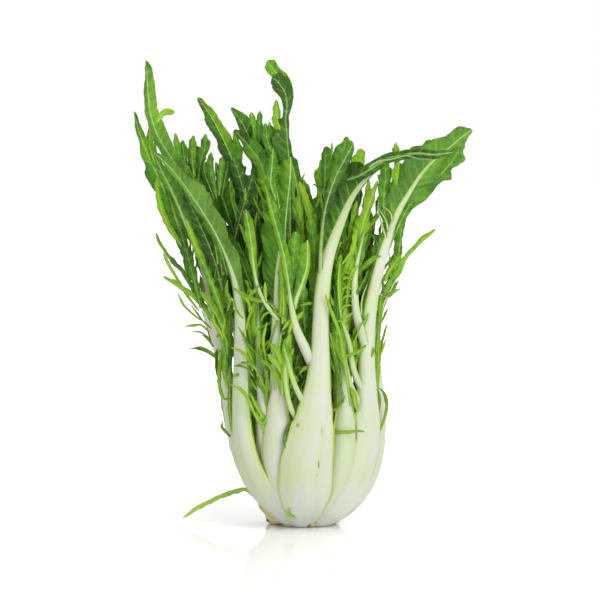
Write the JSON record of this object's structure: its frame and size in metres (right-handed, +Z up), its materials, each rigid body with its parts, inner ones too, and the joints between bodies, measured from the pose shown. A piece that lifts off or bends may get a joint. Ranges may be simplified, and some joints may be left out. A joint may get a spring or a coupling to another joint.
{
  "type": "puntarelle",
  "caption": "Whole head of Catalogna chicory with pale fleshy ribs round a bulbous heart of shoots and long jagged green leaves, standing on its cut crown.",
  "frame": {"origin": "middle of the flat face where the head was cut off its root", "axes": "+Z up from the cut face to the leaf tips, front of the head towards -Y"},
  "size_m": [0.2758, 0.1781, 0.3807],
  "materials": {
    "leaf": "waxy, pale green-white at the ribs and green at the blades",
    "shoot": "smooth, juicy, pale green",
    "crown": "cut, dry, yellow-brown"
  },
  "bodies": {
    "root": {"crown": "crown", "front_leaf": "leaf", "left_leaf": "leaf", "right_leaf": "leaf", "mid_left_leaf": "leaf", "mid_right_leaf": "leaf", "mid_left_inner_leaf": "leaf", "far_left_leaf": "leaf", "outer_left_leaf": "leaf", "far_right_leaf": "leaf", "tall_leaf": "leaf", "slim_leaf": "leaf", "oak_leaf": "leaf", "middle_leaf": "leaf", "broad_leaf": "leaf", "pointed_leaf": "leaf", "forked_leaf": "leaf", "antler_leaf": "leaf", "back_leaf_1": "leaf", "back_leaf_2": "leaf", "back_leaf_3": "leaf", "back_leaf_4": "leaf", "back_inner_leaf_1": "leaf", "back_inner_leaf_2": "leaf", "back_inner_leaf_3": "leaf", "back_inner_leaf_4": "leaf", "back_inner_leaf_5": "leaf", "heart_leaf_1": "leaf", "heart_leaf_2": "leaf", "heart_leaf_3": "leaf", "heart_leaf_4": "leaf", "heart_leaf_5": "leaf", "shoot_1": "shoot", "shoot_2": "shoot", "shoot_3": "shoot", "shoot_4": "shoot", "shoot_5": "shoot", "shoot_6": "shoot", "shoot_7": "shoot", "low_sprig": "leaf"}
  },
  "joints": []
}
